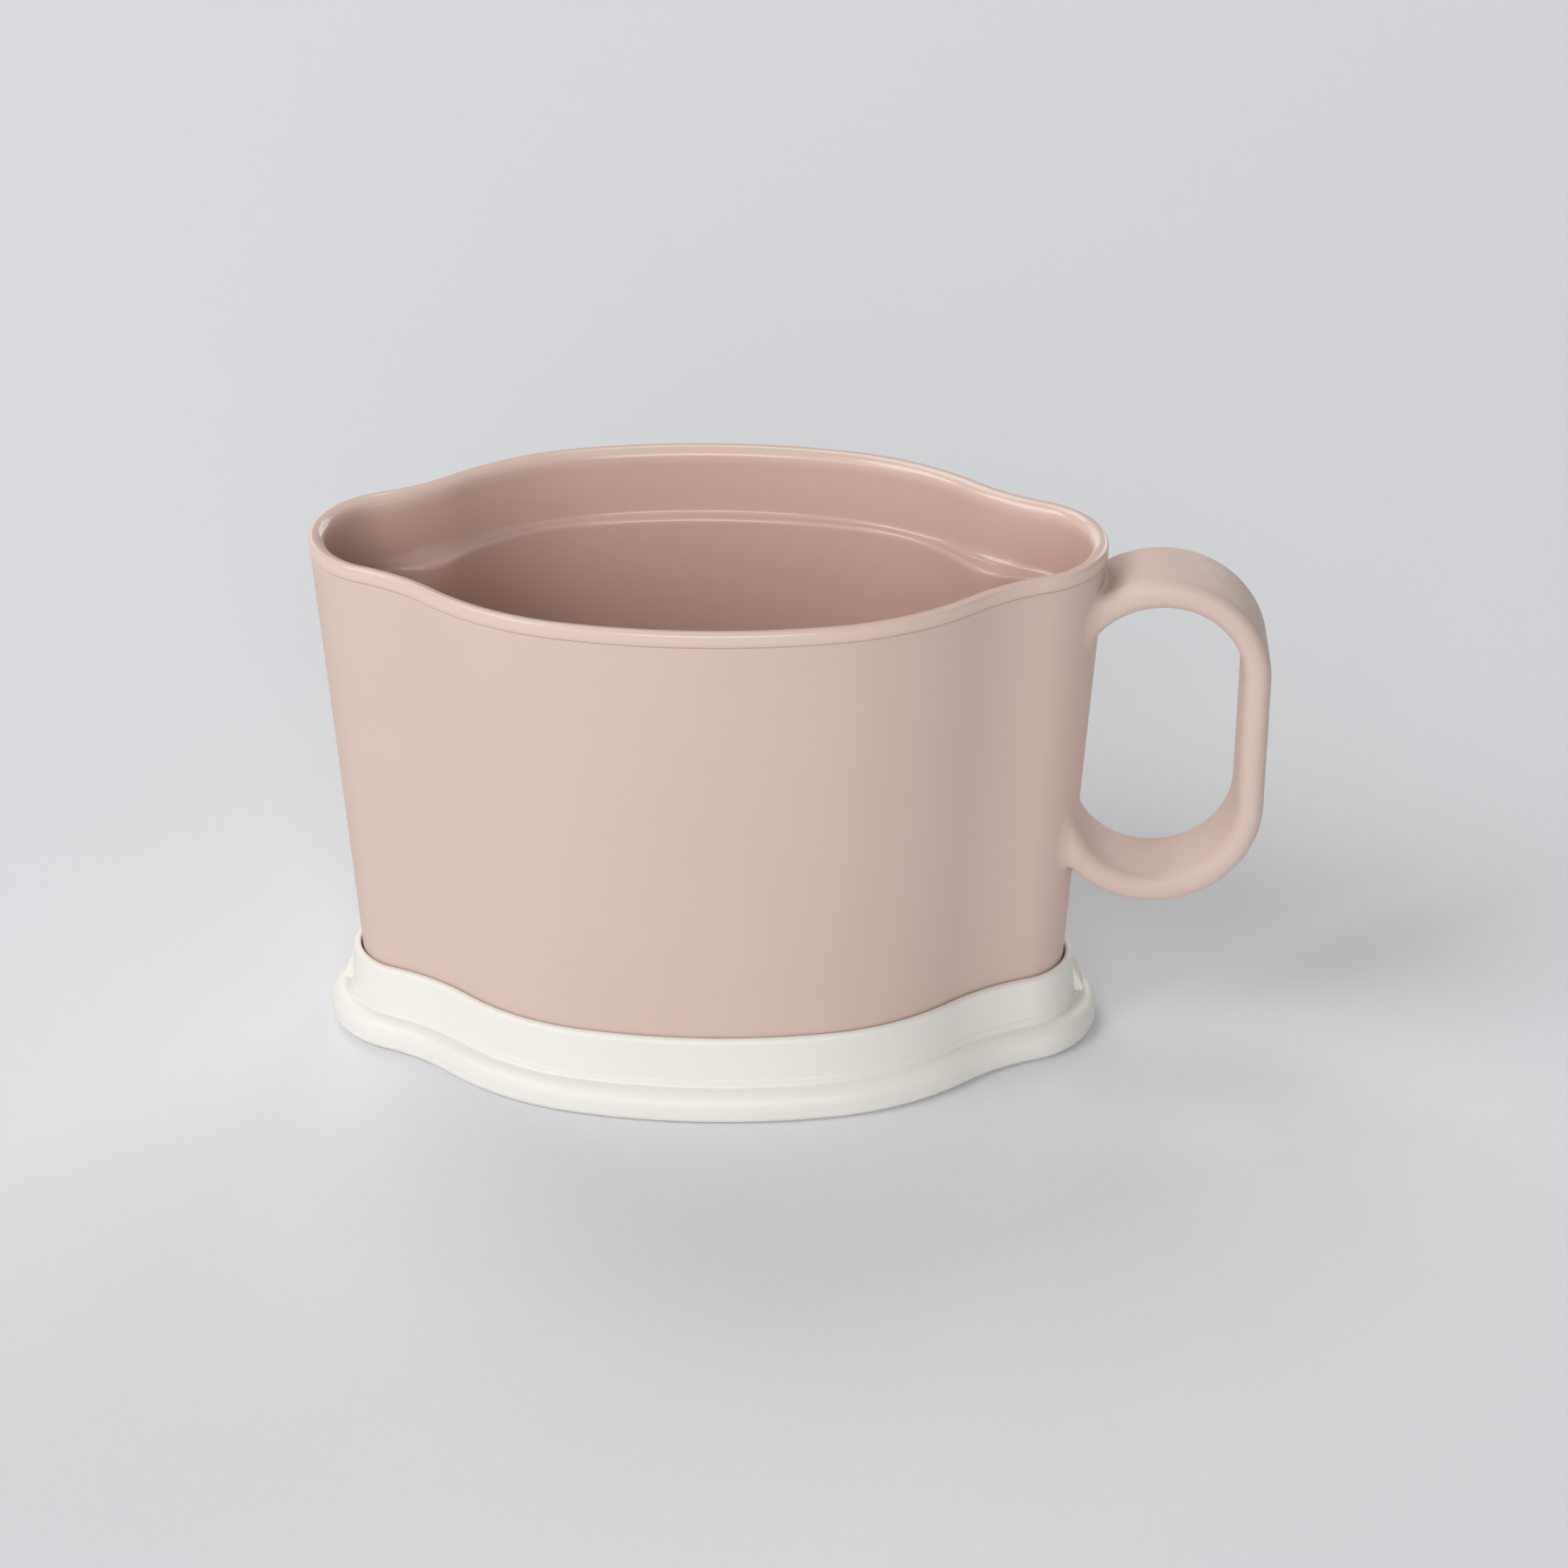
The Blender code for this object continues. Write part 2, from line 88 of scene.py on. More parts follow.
# Mug walls.
GAP = 0.3
PARTING_GAP = 0.06
LIP_HEIGHT = 2.5
LIP_WIDTH = 2.7
LIP_OUTER_R = 0.7
LIP_INNER_R = 1.6
LIP_INNER_REACH = 2.0
LIP_FOOT_R = 0.3
SHELL_WALL = 1.9
SHELL_TOP_INSET = 0.2
SHELL_TOP_R = 0.3
WALL_DRAFT = 0.0673
END_GROWTH = 0.5
COLLAR_DRAFT = 0.055
COLLAR_DEPTH = 11.9
COLLAR_WALL = 1.25
LEDGE_SLOPE = 0.1
COVE_R = 2.0
COVE_SHARE = 0.75
LEDGE_EDGE_R = 1.2
CUP_WALL = 1.8
BASE_CORNER_R = 2.5
FOOT_RING_WIDTH = 3.2
FOOT_RECESS = 0.8
SHELL_FLOOR = 2.2
FLOOR_AIR_GAP = 1.5
CUP_FLOOR_FILLET_R = 5.0
PARTING = MUG_TOP - LIP_HEIGHT
LEDGE = MUG_TOP - COLLAR_DEPTH
SHELL_FLOOR_TOP = MUG_FOOT + FOOT_RECESS + SHELL_FLOOR
CUP_FLOOR_UNDER = SHELL_FLOOR_TOP + FLOOR_AIR_GAP
CUP_FLOOR_TOP = CUP_FLOOR_UNDER + CUP_WALL

# Wall rows: coarse over the plain wall, fine where a root of the handle is blended in.
WALL_ROW = 3.0
ROOT_ROW = 0.6
LOWER_ROOT_SPAN = (26.0, 47.0)
UPPER_ROOT_SPAN = (68.0, PARTING - 1.0)

# Lid, upside down as it lies. Its plan is the wall's at the table, and values below zero are offsets
# inwards from that plan.
LID_PLAN = RIM._replace(half_length=RIM.half_length + END_GROWTH)
LID_PANEL_UNDER = 3.2
LID_PANEL_TOP = 5.1
SKIRT_INNER = -5.05
SKIRT_OUTER = -3.2
SKIRT_TIP = -3.8
SKIRT_EDGE_R = 0.15
SKIRT_TOP_R = 0.8
SKIRT_FOOT_R = 0.8
BEAD_TOP = 6.3
BEAD_PROUD = 0.25
BORDER_TOP = 5.3
BORDER_VALLEY = 5.2
BORDER_CROWN_R = 2.4
BORDER_FOOT_R = 1.4
BORDER_FLAT_INNER = -2.9
TRAY_WALL = -3.5
TRAY_EDGE = 0.3
TRAY_FILLET = 0.6
LUG_WIDTH = 4.0
LUG_FOOT = 6.4
LUG_TOP = 10.2
LUG_LEAD_IN = 2.9
LUG_PROUD = 1.35
LUG_ROOT = 1.0
LUG_EDGE_R = 0.25
LUG_EDGE_STEPS = 3
ROUND_PROFILE = 0.5

# Handle: a racetrack ring of rounded section, whose arms grow outwards through the bends.
BAND_THICKNESS = 4.35
ARM_GROWTH = 0.17
BAND_HALF_WIDTH = 7.4
BAND_EDGE_R = 2.0
BAND_EDGE_STEPS = 10
BAND_FACE_STEPS = 12
BEND_STEPS = 40
BAR_STEPS = 16
HANDLE_OPENING_X = HANDLE_REACH - BAND_THICKNESS
HANDLE_OPENING_TOP = 82.4
HANDLE_OPENING_FOOT = 32.25
HANDLE_OPENING_R = 13.45

# Roots of the handle: the angle past which an arm runs straight into the wall, and the fillet there, wider
# at the arm's two sides.
ROOT_LAST_ANGLE = math.radians(157)
ROOT_FILLET = 1.3
ROOT_SIDE_FILLET = 2.6
ROOT_PULL = 0.6
ROOT_STEPS = 10
ROOT_DIP = 0.03
ROOT_SINK = 1.0
HIT_ROUNDS = 24
END_X = RIM.half_length - RIM.end_r
BEND_X = HANDLE_OPENING_X - HANDLE_OPENING_R
UPPER_BEND_Z = HANDLE_OPENING_TOP - HANDLE_OPENING_R
LOWER_BEND_Z = HANDLE_OPENING_FOOT + HANDLE_OPENING_R

# Camera, placed from the mug's axis along its own side, rise and view directions.
IMAGE_SENSOR = 36.0
CAMERA_LENS = 96.08
CAMERA_ELEVATION = math.radians(30.0)
CAMERA_TURN = math.radians(-2.067)
CAMERA_ROLL = math.radians(-0.122)
CAMERA_SIDE = 12.29
CAMERA_RISE = 38.86
CAMERA_DISTANCE = 722.8

# Colours, in linear light.
SHELL_COLOUR = (0.70, 0.54, 0.467)
SHELL_SHADE = (0.675, 0.51, 0.437)
# The cup's own plastic colour, set darker and redder than the shell's as painted shade for the cup's hollow
# inside; the two colours mottle at random.
CUP_COLOUR_IN_PAINTED_SHADE = (0.68, 0.485, 0.41)
CUP_MOTTLE_IN_PAINTED_SHADE = (0.655, 0.46, 0.385)
# The lip's colour is paler than the cup's: painted light on the top of the lip.
LIP_PAINTED_LIGHT_COLOUR = (0.755, 0.565, 0.485)
LID_COLOUR = (0.86, 0.84, 0.79)
LID_SHADE = (0.835, 0.81, 0.755)
FLOOR_COLOUR = (0.79, 0.80, 0.825)
FLOOR_SHADE = (0.77, 0.78, 0.805)

# The lip's painted light, a paler colour for the light on the top of the lip, comes in over a short height,
# from a little under the parting line.
LIP_PAINTED_LIGHT_FOOT = -0.5
LIP_PAINTED_LIGHT_SPAN = 1.5

# Roughness of each finish, from its smoothest patches to its roughest, and the span of noise that is
# spread over that range.
SHELL_ROUGHNESS = (0.50, 0.60)
CUP_ROUGHNESS = (0.11, 0.19)
LID_ROUGHNESS = (0.38, 0.48)
FLOOR_ROUGHNESS = (0.85, 0.95)
NOISE_SPAN = (0.3, 0.7)
CUP_NOISE_SPAN = (0.35, 0.75)

# Light: square softboxes on a dome over the object, in a dim white room. Azimuth and elevation are in
# degrees, with azimuth 0 in front and -90 on the left. Sizes and distances here are in metres.
Softbox = namedtuple("Softbox", "name azimuth elevation size watts")
SOFTBOXES = (
    Softbox("key", -64, 48, 1.2, 21.0),
    Softbox("front_left", -35, 22, 1.2, 7.0),
    Softbox("front", 0, 22, 1.2, 18.5),
    Softbox("front_right", 50, 8, 1.2, 2.5),
    Softbox("back_left", -150, 22, 1.2, 7.0),
    Softbox("back_right", 150, 22, 1.2, 12.0),
    Softbox("overhead", -155, 55, 1.0, 10.0),
)
SOFTBOX_DISTANCE = 2.2
ROOM_COLOUR = (1.0, 1.0, 1.0)
ROOM_STRENGTH = 0.08
FLOOR_REACH = 3.0

SMOOTH_ANGLE = math.radians(40)


def offset(plan, distance):
    """The plan moved outwards by a distance, with its arc centres kept."""
    return Plan(
        plan.half_length + distance,
        plan.half_depth + distance,
        plan.side_r + distance,
        plan.side_turn,
        plan.shoulder_r + distance,
        plan.end_r + distance,
        plan.waist_r - distance,
    )


def blend(first, second, share):
    """The plan part of the way from one plan to another."""
    return Plan(*(a + (b - a) * share for a, b in zip(first, second)))


def shoulder_centre(plan):
    """Centre of the shoulder arc, which carries on from the side arc at the side's half angle."""
    reach = plan.side_r - plan.shoulder_r
    side_y = plan.half_depth - plan.side_r
    return (reach * math.sin(plan.side_turn), side_y + reach * math.cos(plan.side_turn))


def waist_centre(plan):
    """Centre of the waist arc, which touches the end arc and the shoulder arc from outside."""
    end_x = plan.half_length - plan.end_r
    shoulder_x, shoulder_y = shoulder_centre(plan)
    to_end = plan.end_r + plan.waist_r
    to_shoulder = plan.shoulder_r + plan.waist_r
    span = math.hypot(end_x - shoulder_x, shoulder_y)
    along = (to_shoulder**2 - to_end**2 + span**2) / (2 * span)
    across = math.sqrt(to_shoulder**2 - along**2)
    way_x = (end_x - shoulder_x) / span
    way_y = -shoulder_y / span
    return (shoulder_x + along * way_x - across * way_y, shoulder_y + along * way_y + across * way_x)


def arc(centre_x, centre_y, radius, start, stop, steps):
    """Points along an arc, without its last one."""
    angles = [start + (stop - start) * step / steps for step in range(steps)]
    return [(centre_x + radius * math.cos(angle), centre_y + radius * math.sin(angle)) for angle in angles]


def lemon(plan):
    """Closed outline, counter-clockwise from the +X tip: one quarter of arcs, mirrored twice."""
    end_x = plan.half_length - plan.end_r
    shoulder_x, shoulder_y = shoulder_centre(plan)
    waist_x, waist_y = waist_centre(plan)
    end_angle = math.atan2(waist_y, waist_x - end_x)
    shoulder_angle = math.atan2(waist_y - shoulder_y, waist_x - shoulder_x)
    side_angle = math.pi / 2 - plan.side_turn
    quarter = arc(end_x, 0.0, plan.end_r, 0.0, end_angle, END_STEPS)
    quarter += arc(waist_x, waist_y, -plan.waist_r, end_angle, shoulder_angle, WAIST_STEPS)
    quarter += arc(shoulder_x, shoulder_y, plan.shoulder_r, shoulder_angle, side_angle, SHOULDER_STEPS)
    quarter += arc(0.0, plan.half_depth - plan.side_r, plan.side_r, side_angle, math.pi / 2, SIDE_STEPS)
    half = quarter + [(0.0, plan.half_depth)] + [(-x, y) for x, y in reversed(quarter)]
    return half + [(x, -y) for x, y in reversed(half[1:-1])]


def rounded(offset_from, z_from, offset_to, z_to, leaves, steps=ROUND_STEPS):
    """Profile points along a quarter ellipse that leaves its first point "upright" or "level"."""
    points = []
    for step in range(steps + 1):
        angle = math.pi / 2 * step / steps
        slow = 1 - math.cos(angle)
        quick = math.sin(angle)
        across, along = (slow, quick) if leaves == "upright" else (quick, slow)
        points.append((offset_from + (offset_to - offset_from) * across, z_from + (z_to - z_from) * along))
    return points


def straight(offset_from, z_from, offset_to, z_to, steps):
    """Profile points between two points, without either."""
    shares = [step / steps for step in range(1, steps)]
    return [(offset_from + (offset_to - offset_from) * s, z_from + (z_to - z_from) * s) for s in shares]


def ring(plan, z):
    """One row of a loft: the plan's outline at a height."""
    return [(x, y, z) for x, y in lemon(plan)]


def rings_on(plan, profile):
    """Rows of a loft from profile points, each an offset from the plan and a height."""
    return [ring(offset(plan, distance), z) for distance, z in profile]


def end_growth(z):
    """How far each end of the wall is drawn out at a height."""
    return END_GROWTH * (1 - z / PARTING) ** 2


def wall_plan(z):
    """The rim plan, its two ends drawn out a little more towards the foot."""
    return RIM._replace(half_length=RIM.half_length + end_growth(z))


def wall_offset(z):
    """Offset of the shell's outside from the rim plan at a height."""
    return -SHELL_TOP_INSET - WALL_DRAFT * (PARTING - z)


def skin(bm, loops):
    """Join loops of equal length with quads, and close the first and last with flat caps."""
    for first, second in zip(loops, loops[1:]):
        for index in range(len(first)):
            following = (index + 1) % len(first)
            bm.faces.new((first[index], first[following], second[following], second[index]))
    bm.faces.new(loops[0])
    bm.faces.new(loops[-1])
    bmesh.ops.recalc_face_normals(bm, faces=bm.faces)


def loft(rings):
    """A closed bmesh skinned over rows of points, in millimetres on the mug's axis."""
    bm = bmesh.new()
    skin(bm, [[bm.verts.new(point) for point in row] for row in rings])
    return bm


def add_mesh(name, bm):
    """Turn a bmesh in millimetres on the mug's axis into a smooth object in the frame."""
    bmesh.ops.translate(bm, verts=bm.verts, vec=(MUG_AXIS_X, 0.0, 0.0))
    bmesh.ops.scale(bm, verts=bm.verts, vec=(MM, MM, MM))
    mesh = bpy.data.meshes.new(name)
    bm.to_mesh(mesh)
    bm.free()
    mesh.shade_smooth()
    mesh.set_sharp_from_angle(angle=SMOOTH_ANGLE)
    item = bpy.data.objects.new(name, mesh)
    bpy.context.scene.collection.objects.link(item)
    return item


def joined(base, tool):
    """The union of two closed bmeshes, as a new bmesh."""
    objects = []
    for bm in (base, tool):
        mesh = bpy.data.meshes.new("union")
        bm.to_mesh(mesh)
        bm.free()
        item = bpy.data.objects.new("union", mesh)
        bpy.context.scene.collection.objects.link(item)
        objects.append(item)
    union = objects[0].modifiers.new("union", "BOOLEAN")
    union.operation = "UNION"
    union.solver = "EXACT"
    union.object = objects[1]
    evaluated = objects[0].evaluated_get(bpy.context.evaluated_depsgraph_get())
    result = bmesh.new()
    result.from_mesh(evaluated.to_mesh())
    evaluated.to_mesh_clear()
    for item in objects:
        mesh = item.data
        bpy.data.objects.remove(item)
        bpy.data.meshes.remove(mesh)
    return result


def wall_heights(low, high):
    """Heights of the shell's wall rows, closer together round the handle's roots."""
    heights = []
    z = low + WALL_ROW
    while z < high - ROOT_ROW:
        heights.append(z)
        near_root = any(start <= z < stop for start, stop in (LOWER_ROOT_SPAN, UPPER_ROOT_SPAN))
        z += ROOT_ROW if near_root else WALL_ROW
    return heights


def shell_walls():
    """The shell without its handle: foot ring, base corner, drafted wall, top edge, and the hollow."""
    corner_top = MUG_FOOT + BASE_CORNER_R
    foot_edge = wall_offset(MUG_FOOT) - BASE_CORNER_R
    ring_inner = foot_edge - FOOT_RING_WIDTH
    top = PARTING - PARTING_GAP / 2
    inner_top = wall_offset(top) - COLLAR_WALL
    rebate = LEDGE - CUP_WALL - GAP
    profile = [(ring_inner - FOOT_RECESS, MUG_FOOT + FOOT_RECESS)]
    profile += rounded(ring_inner - FOOT_RECESS / 2, MUG_FOOT + FOOT_RECESS, ring_inner, MUG_FOOT, "level")
    profile += rounded(foot_edge, MUG_FOOT, wall_offset(corner_top), corner_top, "level")
    profile += [(wall_offset(z), z) for z in wall_heights(corner_top, top - SHELL_TOP_R)]
    profile += rounded(wall_offset(top), top - SHELL_TOP_R, wall_offset(top) - SHELL_TOP_R, top, "upright")
    profile += [(inner_top, top), (wall_offset(rebate) - COLLAR_WALL, rebate)]
    profile += [(wall_offset(rebate) - SHELL_WALL, rebate - SHELL_WALL)]
    profile += [(wall_offset(SHELL_FLOOR_TOP) - SHELL_WALL, SHELL_FLOOR_TOP)]
    return loft([ring(offset(wall_plan(z), distance), z) for distance, z in profile])


def band_section():
    """Section of the handle with rounded edges: (depth, width) points, each with its outward heading."""
    face = BAND_THICKNESS / 2
    half = face - BAND_EDGE_R
    wide = BAND_HALF_WIDTH - BAND_EDGE_R
    points = []
    for turn, (side, out) in enumerate(((1, 1), (-1, 1), (-1, -1), (1, -1))):
        for step in range(BAND_EDGE_STEPS + 1):
            angle = (turn + step / BAND_EDGE_STEPS) * math.pi / 2
            heading = (math.cos(angle), math.sin(angle))
            depth = side * half + BAND_EDGE_R * heading[0]
            points.append((depth, out * wide + BAND_EDGE_R * heading[1], *heading))
        if side != out:
            shares = [step / BAND_FACE_STEPS for step in range(1, BAND_FACE_STEPS)]
            points += [(side * face, out * wide * (1 - 2 * share), side, 0.0) for share in shares]
    return points


def band_point(depth, width, angle, bend_z, side):
    """A point of the band on its upper bend, where side is 1, or on its lower bend, where side is -1."""
    turn = min(angle, ROOT_LAST_ANGLE)
    growth = 1 + ARM_GROWTH * math.sin(min(turn, math.pi / 2)) ** 2
    reach = HANDLE_OPENING_R + (depth + BAND_THICKNESS / 2) * growth
    ahead = reach * (angle - turn)
    along = reach * math.cos(turn) - ahead * math.sin(turn)
    rise = reach * math.sin(turn) + ahead * math.cos(turn)
    return Vector((BEND_X + along, width, bend_z + side * rise))


def wall_point(swing, z, lift):
    """A point on the rounded end of the shell, at an angle round from its tip and lifted off the wall."""
    reach = RIM.end_r + wall_offset(z) + lift
    return Vector((END_X + end_growth(z) + reach * math.cos(swing), reach * math.sin(swing), z))


def hit_angle(depth, width, bend_z, side):
    """Angle round a bend at which one line of the band runs into the wall, found by halving."""
    clear = math.pi / 2
    inside = math.pi
    for _ in range(HIT_ROUNDS):
        middle = (clear + inside) / 2
        point = band_point(depth, width, middle, bend_z, side)
        from_end = point.x - END_X - end_growth(point.z)
        if math.hypot(from_end, width) > RIM.end_r + wall_offset(point.z):
            clear = middle
        else:
            inside = middle
    return clear


def bezier(first, second, third, fourth, share):
    """A point on a cubic curve."""
    rest = 1 - share
    return (rest**3 * first + 3 * rest**2 * share * second
            + 3 * rest * share**2 * third + share**3 * fourth)


def bend_line(depth, width, out_depth, out_width, bend_z, side):
    """One line of a bend along the band: out of the wall, over the fillet, and round to the bar."""
    stop = hit_angle(depth, width, bend_z, side)
    meet = band_point(depth, width, stop, bend_z, side)
    wall_r = RIM.end_r + wall_offset(meet.z)
    fillet = ROOT_FILLET + (ROOT_SIDE_FILLET - ROOT_FILLET) * abs(out_width)
    swing = math.asin(width / wall_r) + fillet * out_width / wall_r
    wall_end = wall_point(swing, meet.z + side * fillet * out_depth, -ROOT_DIP)
    free_angle = stop - fillet / HANDLE_OPENING_R
    free_end = band_point(depth, width, free_angle, bend_z, side)
    wall_lead = wall_end.lerp(meet, ROOT_PULL)
    free_lead = free_end.lerp(meet, ROOT_PULL)
    line = [wall_point(swing, wall_end.z, -ROOT_SINK)]
    for step in range(ROOT_STEPS + 1):
        line.append(bezier(wall_end, wall_lead, free_lead, free_end, step / ROOT_STEPS))
    for step in range(1, BEND_STEPS + 1):
        line.append(band_point(depth, width, free_angle * (1 - step / BEND_STEPS), bend_z, side))
    return line


def bend_rows(bend_z, side):
    """Section rows of one bend, from inside the wall to the straight bar."""
    lines = [bend_line(*point, bend_z, side) for point in band_section()]
    return [list(row) for row in zip(*lines)]


def handle_band():
    """The handle from its upper root, round both bends, to its lower root."""
    upper = bend_rows(UPPER_BEND_Z, 1)
    lower = bend_rows(LOWER_BEND_Z, -1)[::-1]
    bar = []
    for step in range(1, BAR_STEPS):
        share = step / BAR_STEPS
        bar.append([a.lerp(b, share) for a, b in zip(upper[-1], lower[0])])
    return loft(upper + bar + lower)


def make_shell():
    """The outer shell with its handle."""
    return add_mesh("shell", joined(shell_walls(), handle_band()))


def distance_to(point, row):
    """How far a point is from a closed row of points."""
    spot = Vector(point)
    corners = [Vector(corner) for corner in row]
    nearest = math.inf
    for start, stop in zip(corners, corners[1:] + corners[:1]):
        _, share = intersect_point_line(spot, start, stop)
        reached = start.lerp(stop, min(max(share, 0.0), 1.0))
        nearest = min(nearest, (reached - spot).length)
    return nearest


def ledge_rings(collar_in):
    """Rows of the ledge: a cove, smaller where the ledge is narrow, and the edge of the pocket.

    The collar's outline, drawn again one millimetre further in, gives each point's way inwards.
    """
    pocket_edge = rings_on(POCKET_TOP, rounded(LEDGE_EDGE_R / 2, LEDGE, 0.0, LEDGE - LEDGE_EDGE_R, "level"))
    collar = ring(offset(RIM, collar_in), LEDGE)
    one_further_in = ring(offset(RIM, collar_in - 1.0), LEDGE)
    lines = []
    for (x, y, z), (inner_x, inner_y, _) in zip(collar, one_further_in):
        width = distance_to((x, y, z), pocket_edge[0])
        cove = min(COVE_R, COVE_SHARE * width)
        lift = LEDGE_SLOPE * (width - cove)
        line = []
        for across, rise in rounded(0.0, cove, cove, 0.0, "upright"):
            line.append((x + (inner_x - x) * across, y + (inner_y - y) * across, z + lift + rise))
        lines.append(line)
    return [list(row) for row in zip(*lines)] + pocket_edge


def make_cup():
    """The liner: outside from the floor up, round the rolled lip, down the collar, ledge and pocket."""
    collar_out = -SHELL_TOP_INSET - COLLAR_WALL - GAP
    lip_under = PARTING + PARTING_GAP / 2
    collar_foot = LEDGE - CUP_WALL
    pocket_out = offset(POCKET_TOP, CUP_WALL)
    foot_out = offset(POCKET_FOOT, CUP_WALL)
    floor_out = offset(POCKET_FLOOR, CUP_WALL)
    floor_fillet = rounded(0.0, 0.0, 1.0, 1.0, "level")

    rings = []
    for across, rise in floor_fillet:
        z = CUP_FLOOR_UNDER + rise * CUP_FLOOR_FILLET_R
        rings.append(ring(blend(floor_out, foot_out, across), z))
    rings.append(ring(pocket_out, collar_foot - CUP_WALL))

    outside = [(collar_out - WALL_DRAFT * (lip_under - collar_foot), collar_foot), (collar_out, lip_under)]
    outside += rounded(-LIP_FOOT_R, lip_under, 0.0, lip_under + LIP_FOOT_R, "level")
    outside += rounded(0.0, MUG_TOP - LIP_OUTER_R, -LIP_OUTER_R, MUG_TOP, "upright")
    outside += rounded(LIP_INNER_REACH - LIP_WIDTH, MUG_TOP, -LIP_WIDTH, MUG_TOP - LIP_INNER_R, "level")
    collar_in = -LIP_WIDTH - COLLAR_DRAFT * (COLLAR_DEPTH - LIP_INNER_R)
    rings += rings_on(RIM, outside)
    rings += ledge_rings(collar_in)

    fillet_top = CUP_FLOOR_TOP + CUP_FLOOR_FILLET_R
    pocket_top = LEDGE - LEDGE_EDGE_R
    for step in range(1, POCKET_STEPS):
        share = step / POCKET_STEPS
        z = pocket_top + (fillet_top - pocket_top) * share
        rings.append(ring(blend(POCKET_TOP, POCKET_FOOT, share), z))
    for across, rise in reversed(floor_fillet):
        z = CUP_FLOOR_TOP + rise * CUP_FLOOR_FILLET_R
        rings.append(ring(blend(POCKET_FLOOR, POCKET_FOOT, across), z))
    return add_mesh("cup", loft(rings))


def lid_lugs():
    """Two snap lugs at the tips of the skirt, each with a lead-in slope and a square catch below it."""
    face = LID_PLAN.half_length + SKIRT_OUTER
    profile = [
        (face - LUG_ROOT, LUG_FOOT),
        (face + LUG_PROUD, LUG_FOOT),
        (face + LUG_PROUD, LUG_TOP - LUG_LEAD_IN),
        (face - LUG_ROOT, LUG_TOP + LUG_LEAD_IN * LUG_ROOT / LUG_PROUD),
    ]
    bm = bmesh.new()
    for side in (-1, 1):
        ends = []
        for y in (-LUG_WIDTH / 2, LUG_WIDTH / 2):
            ends.append([bm.verts.new((side * x, y, z)) for x, z in profile])
        skin(bm, ends)
    bmesh.ops.bevel(
        bm,
        geom=bm.edges,
        offset=LUG_EDGE_R,
        segments=LUG_EDGE_STEPS,
        profile=ROUND_PROFILE,
        affect="EDGES",
    )
    return bm


def make_lid():
    """The lid upside down: panel, plug skirt with bead, rolled border, and the tray on its top face."""
    skirt_foot = LID_PANEL_TOP + SKIRT_FOOT_R
    edge = SKIRT_INNER + SKIRT_EDGE_R
    edge_foot = SKIRT_TOP - SKIRT_EDGE_R
    tip_foot = SKIRT_TOP - SKIRT_TOP_R
    bead = SKIRT_OUTER + BEAD_PROUD
    bead_edge = BEAD_TOP + BEAD_PROUD
    valley_edge = BORDER_VALLEY + BEAD_PROUD
    crown = BORDER_PROUD - BORDER_CROWN_R
    crown_foot = BORDER_TOP - BORDER_CROWN_R
    profile = rounded(SKIRT_INNER - SKIRT_FOOT_R, LID_PANEL_TOP, SKIRT_INNER, skirt_foot, "level")
    profile += rounded(SKIRT_INNER, edge_foot, edge, SKIRT_TOP, "upright", SMALL_ROUND_STEPS)
    profile += rounded(SKIRT_TIP - SKIRT_TOP_R, SKIRT_TOP, SKIRT_TIP, tip_foot, "level")
    profile += straight(SKIRT_TIP, tip_foot, SKIRT_OUTER, bead_edge, SKIRT_STEPS)
    profile += rounded(SKIRT_OUTER, bead_edge, bead, BEAD_TOP, "level", SMALL_ROUND_STEPS)
    profile += rounded(bead, valley_edge, bead + BEAD_PROUD, BORDER_VALLEY, "upright", SMALL_ROUND_STEPS)
    profile += rounded(crown, BORDER_TOP, BORDER_PROUD, crown_foot, "level", CROWN_STEPS)
    profile += rounded(BORDER_PROUD, BORDER_FOOT_R, BORDER_PROUD - BORDER_FOOT_R, 0.0, "upright")
    profile += [
        (BORDER_FLAT_INNER, 0.0),
        (TRAY_WALL, TRAY_EDGE),
        (TRAY_WALL, LID_PANEL_UNDER - TRAY_FILLET),
        (TRAY_WALL - TRAY_FILLET, LID_PANEL_UNDER),
    ]
    return add_mesh("saucer_lid", joined(loft(rings_on(LID_PLAN, profile)), lid_lugs()))


